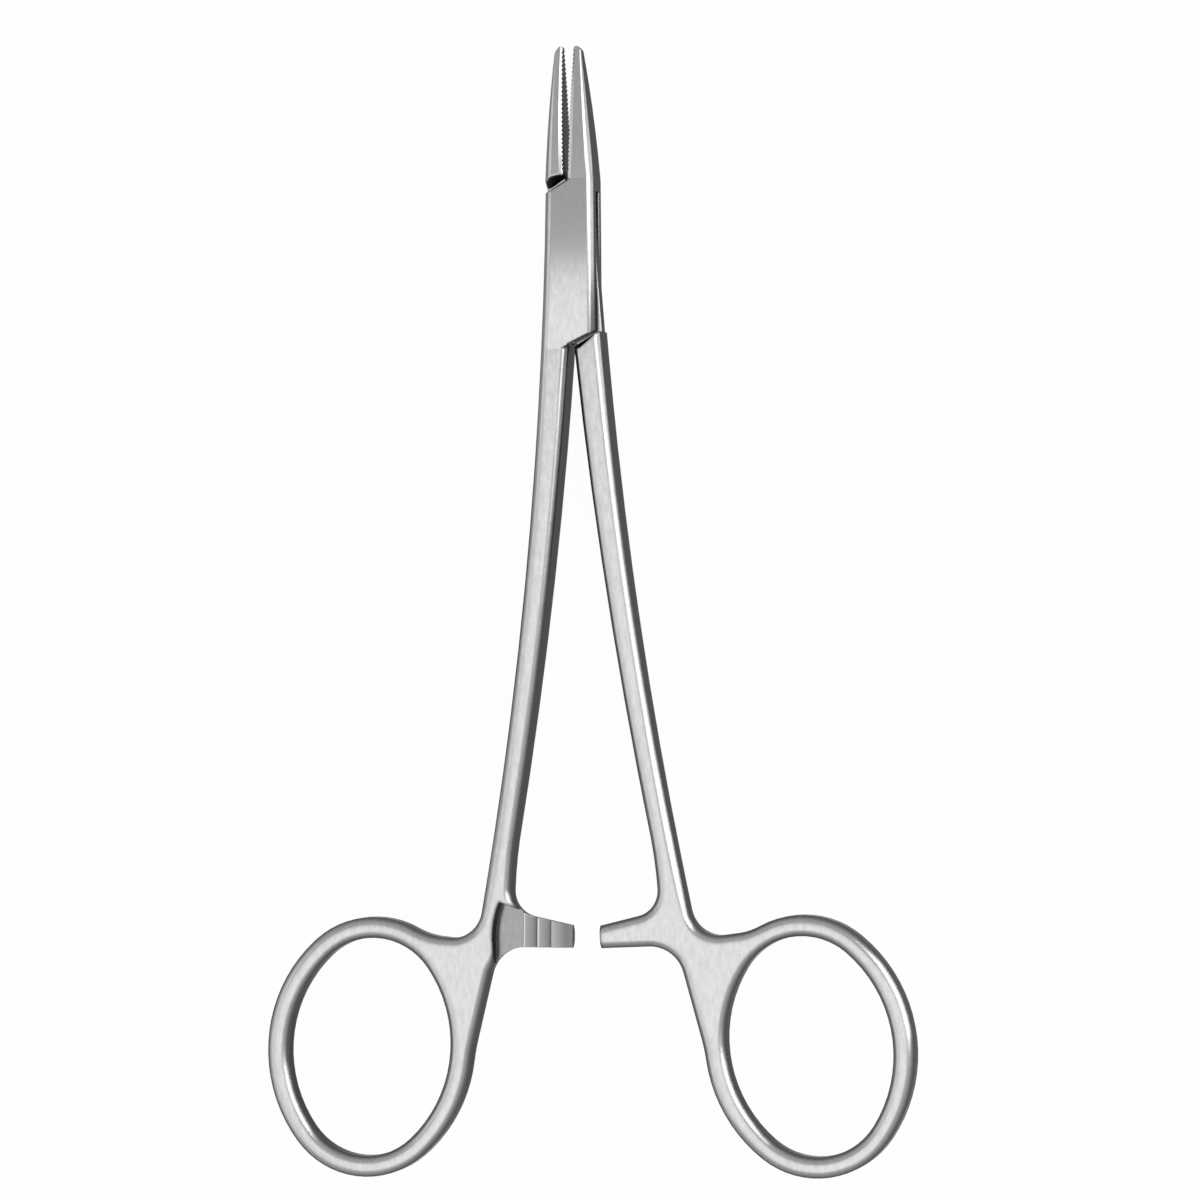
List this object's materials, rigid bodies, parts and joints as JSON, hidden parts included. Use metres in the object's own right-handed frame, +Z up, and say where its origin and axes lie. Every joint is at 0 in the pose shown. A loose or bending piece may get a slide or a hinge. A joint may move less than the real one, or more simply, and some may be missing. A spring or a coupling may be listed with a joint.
{
  "type": "surgical needle holder",
  "caption": "Hinged steel needle holder with box lock, toothed jaws, slim bowed shanks, finger rings and a ratchet catch.",
  "frame": {"origin": "point of the resting plane on the pivot's axis, under the back face of the box lock", "axes": "+Z up through the front face along the pivot axis, +Y towards the jaw tips, +X to the right seen from the front"},
  "size_m": [0.0766, 0.1305, 0.0046],
  "materials": {
    "box_half_steel": "satin stainless steel",
    "through_half_steel": "satin stainless steel",
    "pin_steel": "satin stainless steel, riveted and ground flush"
  },
  "bodies": {
    "box_side": {"box_half": "box_half_steel", "pivot_pin": "pin_steel"},
    "through_side": {"through_half": "through_half_steel"}
  },
  "joints": [
    {"name": "box_lock", "type": "hinge", "parent": "box_side", "child": "through_side", "pos_m": [0, 0, 0.0023], "axis": [0, 0, 1], "range_deg": [-2.9, 60]}
  ]
}
